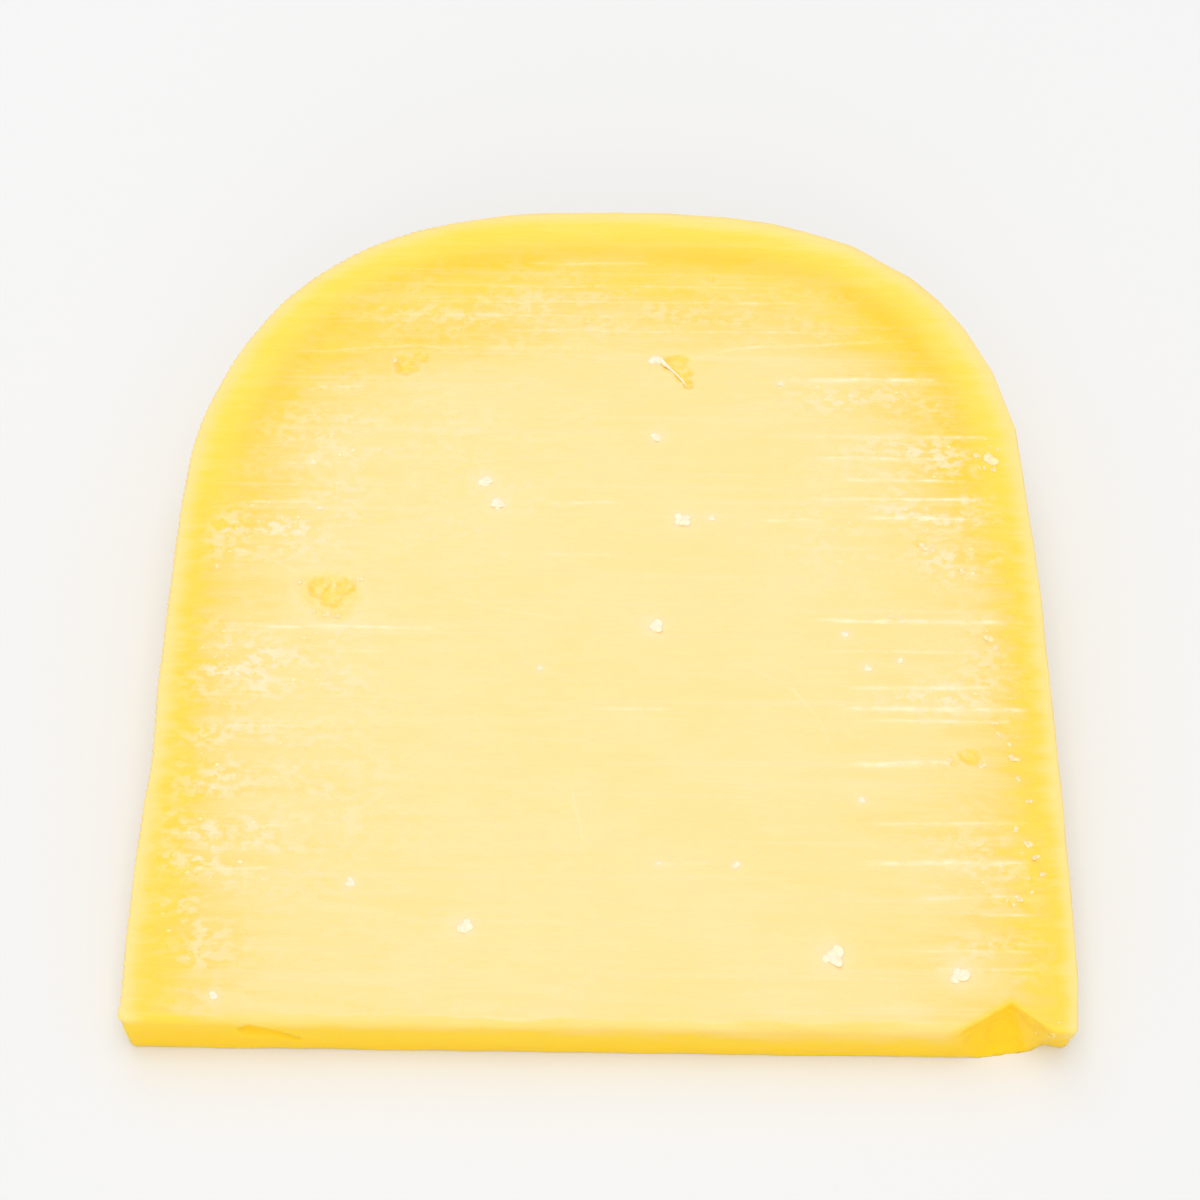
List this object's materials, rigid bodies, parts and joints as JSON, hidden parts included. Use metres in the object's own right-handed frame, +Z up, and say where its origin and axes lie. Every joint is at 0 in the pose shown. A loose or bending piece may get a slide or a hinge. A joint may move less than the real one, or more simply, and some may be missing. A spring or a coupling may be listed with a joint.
{
  "type": "cheese wedge",
  "caption": "Thin wedge of firm yellow cheese with a rounded rind, a straight cut front and small eyes.",
  "frame": {"origin": "middle of the footprint, on the surface that the wedge lies on", "axes": "+X to the right along the wheel's axis, +Y from the thin cut front to the thick rounded rind, +Z up"},
  "size_m": [0.1166, 0.1253, 0.0234],
  "materials": {
    "cheese": "satin"
  },
  "bodies": {
    "root": {"cheese_wedge": "cheese"}
  },
  "joints": []
}
